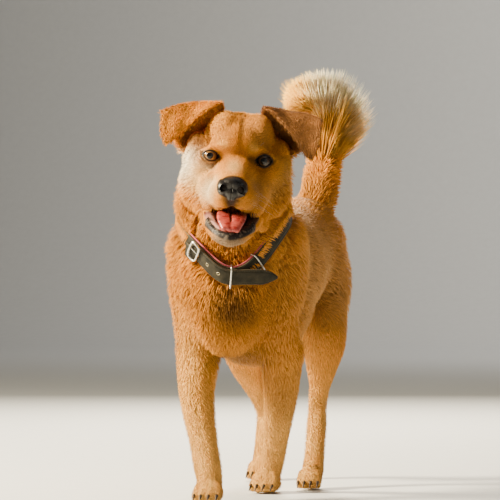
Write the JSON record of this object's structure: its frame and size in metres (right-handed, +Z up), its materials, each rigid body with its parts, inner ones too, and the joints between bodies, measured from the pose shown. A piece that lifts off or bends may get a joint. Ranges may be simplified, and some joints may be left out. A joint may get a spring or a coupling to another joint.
{
  "type": "dog, still life-size model",
  "caption": "Medium-small golden dog with drop ears and a plumed tail, walking with its head turned, mouth open, wearing a flat leather collar.",
  "frame": {"origin": "middle of the whole part's footprint box, on the floor that the paws stand on", "axes": "+Z up; +Y from the nose towards the tail, the longest extent; +X towards the dog's left side"},
  "size_m": [0.2568, 0.688, 0.6466],
  "materials": {
    "coat": "dense golden-orange fur, paler on the cheeks, chin and legs",
    "plume": "long soft cream fur, orange near the core",
    "nose": "moist, finely pebbled black skin",
    "eye": "wet amber-brown eye with a dark rim and pupil",
    "tongue": "wet pink tongue",
    "mouth": "wet dark lining and black lips",
    "claw": "dark horn, satin",
    "strap": "worn grey-olive leather with small punched holes",
    "lining": "crimson felt lining",
    "buckle": "plain worn nickel"
  },
  "bodies": {
    "root": {"head": "coat", "jaw": "coat", "neck": "coat", "chest": "coat", "belly": "coat", "tail_base": "coat", "foreleg_right_upper": "coat", "foreleg_right_lower": "coat", "foreleg_left_upper": "coat", "foreleg_left_lower": "coat", "forepaw_right": "coat", "forepaw_left": "coat", "hindleg_left_upper": "coat", "hindleg_left_lower": "coat", "hindleg_right_upper": "coat", "hindleg_right_lower": "coat", "hindpaw_left": "coat", "hindpaw_right": "coat", "ear_left": "coat", "ear_right": "coat", "tail_plume": "plume", "nose": "nose", "tongue": "tongue", "eye_left": "eye", "eye_right": "eye", "collar_strap": "strap", "collar_free_end": "strap", "collar_lining": "lining", "collar_buckle": "buckle", "collar_keeper": "buckle", "collar_ring": "buckle", "claw_fore_right_1": "claw", "claw_fore_right_2": "claw", "claw_fore_right_3": "claw", "claw_fore_right_4": "claw", "claw_fore_left_1": "claw", "claw_fore_left_2": "claw", "claw_fore_left_3": "claw", "claw_fore_left_4": "claw", "claw_hind_right_1": "claw", "claw_hind_right_2": "claw", "claw_hind_right_3": "claw", "claw_hind_right_4": "claw", "claw_hind_left_1": "claw", "claw_hind_left_2": "claw", "claw_hind_left_3": "claw", "claw_hind_left_4": "claw"}
  },
  "joints": []
}
